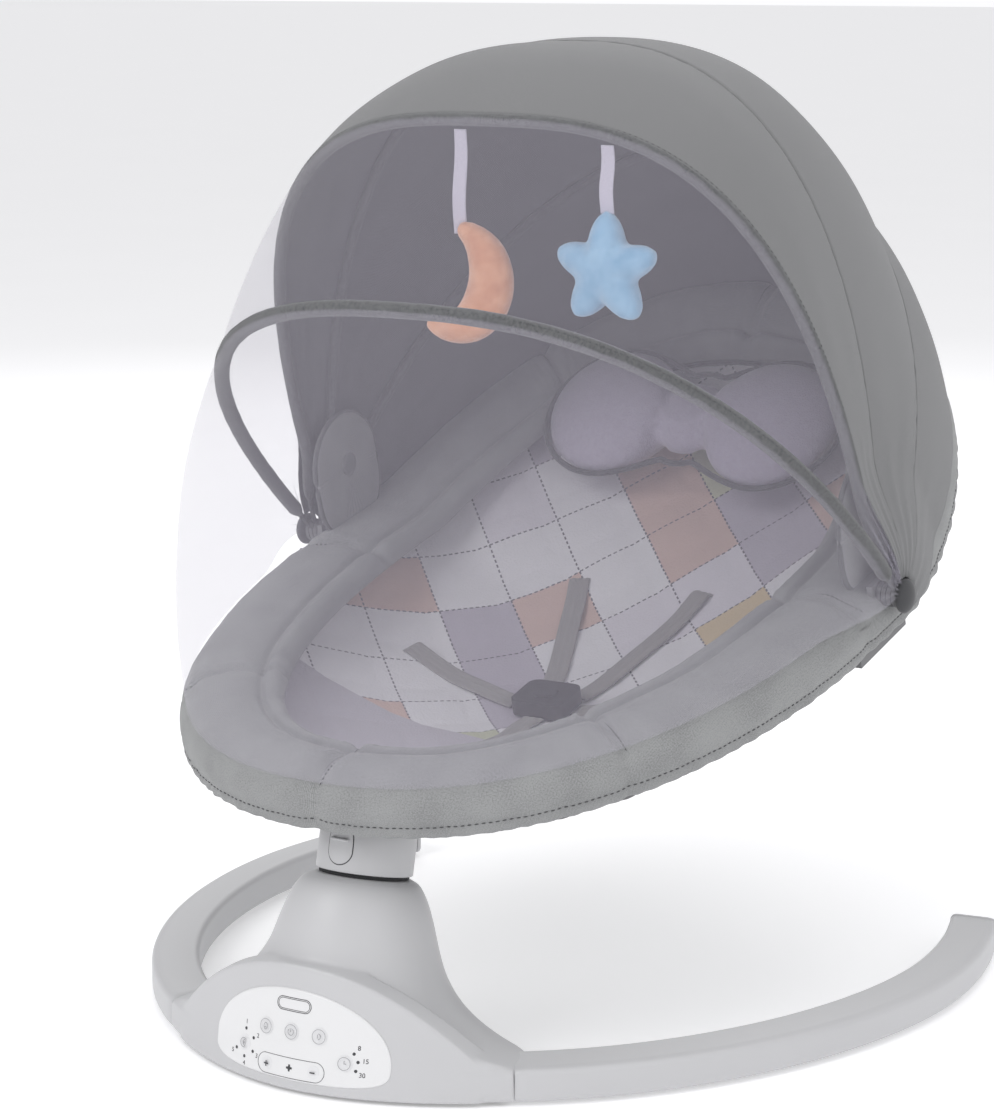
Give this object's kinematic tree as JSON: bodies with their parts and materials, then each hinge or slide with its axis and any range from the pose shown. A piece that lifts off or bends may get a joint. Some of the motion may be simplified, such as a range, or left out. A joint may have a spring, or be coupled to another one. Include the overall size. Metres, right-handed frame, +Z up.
{
  "type": "baby swing",
  "caption": "Electric baby swing: padded oval seat with folding canopy and net on a leaning column over a C-shaped floor base.",
  "frame": {"origin": "floor level, under the middle of the swing's bounding box", "axes": "+Z up, -Y towards the control panel at the swing's front, +X to the right of someone who looks along +Y"},
  "size_m": [0.5496, 0.6406, 0.6206],
  "materials": {
    "shell_plastic": "satin light grey moulded plastic",
    "panel_plastic": "glossy white moulded plastic",
    "button_plastic": "satin white moulded plastic",
    "dark_plastic": "dark grey moulded plastic",
    "foot_rubber": "dark rubber",
    "board": "green circuit board",
    "steel": "steel tube and rod",
    "copper": "wound copper wire",
    "bronze": "sintered bronze",
    "grey_linen": "grey melange linen weave over foam",
    "canopy_cloth": "plain mid-grey woven cloth",
    "lilac_cloth": "lilac knitted cloth over soft fill",
    "lilac_net": "sheer pale lilac net",
    "webbing": "beige-grey webbing",
    "moon_plush": "peach-orange plush",
    "star_plush": "light-blue plush"
  },
  "bodies": {
    "base": {"front_housing": "shell_plastic", "bottom_cover": "dark_plastic", "control_panel": "panel_plastic", "circuit_board": "board", "power_inlet": "dark_plastic", "speaker": "dark_plastic", "left_leg": "shell_plastic", "right_leg": "shell_plastic", "left_leg_cap": "shell_plastic", "right_leg_cap": "shell_plastic", "left_foot": "foot_rubber", "right_foot": "foot_rubber", "front_foot": "foot_rubber", "upper_bearing": "bronze", "lower_bearing": "bronze", "swing_seal": "foot_rubber", "drive_coil": "copper"},
    "seat": {"swing_shaft": "steel", "drive_magnet": "steel", "shaft_nut": "steel", "seat_collar": "shell_plastic", "seat_mount": "dark_plastic", "foot_tube": "steel", "head_tube": "steel", "rim_pad": "grey_linen", "seat_sling": "grey_linen", "seat_liner": "lilac_cloth", "left_side_joint": "dark_plastic", "right_side_joint": "dark_plastic", "left_ear_pad": "canopy_cloth", "right_ear_pad": "canopy_cloth", "head_pillow": "lilac_cloth", "left_shoulder_strap": "webbing", "right_shoulder_strap": "webbing", "left_waist_strap": "webbing", "right_waist_strap": "webbing", "crotch_strap": "webbing", "harness_buckle": "dark_plastic", "canopy_rear_panel": "canopy_cloth"},
    "light_button": {"light_button": "button_plastic"},
    "power_button": {"power_button": "button_plastic"},
    "play_button": {"play_button": "button_plastic"},
    "speed_button": {"speed_button": "button_plastic"},
    "timer_button": {"timer_button": "button_plastic"},
    "plus_button": {"plus_button": "button_plastic"},
    "minus_button": {"minus_button": "button_plastic"},
    "release_button": {"release_button": "shell_plastic"},
    "buckle_button": {"buckle_button": "dark_plastic"},
    "rear_bow": {"rear_bow": "steel", "canopy_middle_panel": "canopy_cloth"},
    "middle_bow": {"middle_bow": "steel", "canopy_front_panel": "canopy_cloth"},
    "front_bow": {"front_bow": "steel", "upper_net": "lilac_net"},
    "net_bow": {"net_bow": "steel", "lower_net": "lilac_net"},
    "moon_toy": {"moon_toy": "moon_plush"},
    "star_toy": {"star_toy": "star_plush"}
  },
  "joints": [
    {"name": "seat_swing", "type": "hinge", "parent": "base", "child": "seat", "pos_m": [0, -0.2354, 0.1158], "axis": [0, 0.2172, 0.9761], "range_deg": [-12, 12]},
    {"name": "light_button_press", "type": "slide", "parent": "base", "child": "light_button", "axis": [0, 0.988, -0.1541], "range_m": [0, 0.0008], "stiffness_N_per_m": 600},
    {"name": "power_button_press", "type": "slide", "parent": "base", "child": "power_button", "axis": [0, 0.988, -0.1541], "range_m": [0, 0.0008], "stiffness_N_per_m": 600},
    {"name": "play_button_press", "type": "slide", "parent": "base", "child": "play_button", "axis": [0, 0.988, -0.1541], "range_m": [0, 0.0008], "stiffness_N_per_m": 600},
    {"name": "speed_button_press", "type": "slide", "parent": "base", "child": "speed_button", "axis": [0, 0.988, -0.1541], "range_m": [0, 0.0008], "stiffness_N_per_m": 600},
    {"name": "timer_button_press", "type": "slide", "parent": "base", "child": "timer_button", "axis": [0, 0.988, -0.1541], "range_m": [0, 0.0008], "stiffness_N_per_m": 600},
    {"name": "plus_button_press", "type": "slide", "parent": "base", "child": "plus_button", "axis": [0, 0.988, -0.1541], "range_m": [0, 0.0008], "stiffness_N_per_m": 600},
    {"name": "minus_button_press", "type": "slide", "parent": "base", "child": "minus_button", "axis": [0, 0.988, -0.1541], "range_m": [0, 0.0008], "stiffness_N_per_m": 600},
    {"name": "seat_release", "type": "slide", "parent": "seat", "child": "release_button", "axis": [0, 0.9761, -0.2172], "range_m": [0, 0.003], "stiffness_N_per_m": 1500},
    {"name": "buckle_press", "type": "slide", "parent": "seat", "child": "buckle_button", "axis": [0, 0.2561, -0.9666], "range_m": [0, 0.0025], "stiffness_N_per_m": 1500},
    {"name": "canopy_fold", "type": "hinge", "parent": "seat", "child": "rear_bow", "pos_m": [0, 0.0379, 0.2698], "axis": [-1, 0, 0], "range_deg": [0, 20], "deforming": ["canopy_rear_panel"]},
    {"name": "canopy_middle_fold", "type": "hinge", "parent": "rear_bow", "child": "middle_bow", "pos_m": [0, 0.0379, 0.2698], "axis": [-1, 0, 0], "range_deg": [0, 29.5], "deforming": ["canopy_middle_panel"]},
    {"name": "canopy_front_fold", "type": "hinge", "parent": "middle_bow", "child": "front_bow", "pos_m": [0, 0.0379, 0.2698], "axis": [-1, 0, 0], "range_deg": [0, 11.2], "deforming": ["canopy_front_panel"]},
    {"name": "net_fold", "type": "hinge", "parent": "front_bow", "child": "net_bow", "pos_m": [0, 0.0379, 0.2698], "axis": [-1, 0, 0], "range_deg": [0, 19], "deforming": ["upper_net"]},
    {"name": "moon_swing", "type": "hinge", "parent": "front_bow", "child": "moon_toy", "pos_m": [-0.019, -0.09445, 0.56671], "axis": [1, 0, 0], "range_deg": [-25, 62]},
    {"name": "star_swing", "type": "hinge", "parent": "front_bow", "child": "star_toy", "pos_m": [0.087, -0.09142, 0.55979], "axis": [1, 0, 0], "range_deg": [-25, 62]}
  ],
  "couplings": [
    {"joint": "canopy_middle_fold", "follows": "canopy_fold", "ratio": 1.475},
    {"joint": "canopy_front_fold", "follows": "canopy_fold", "ratio": 0.56}
  ]
}
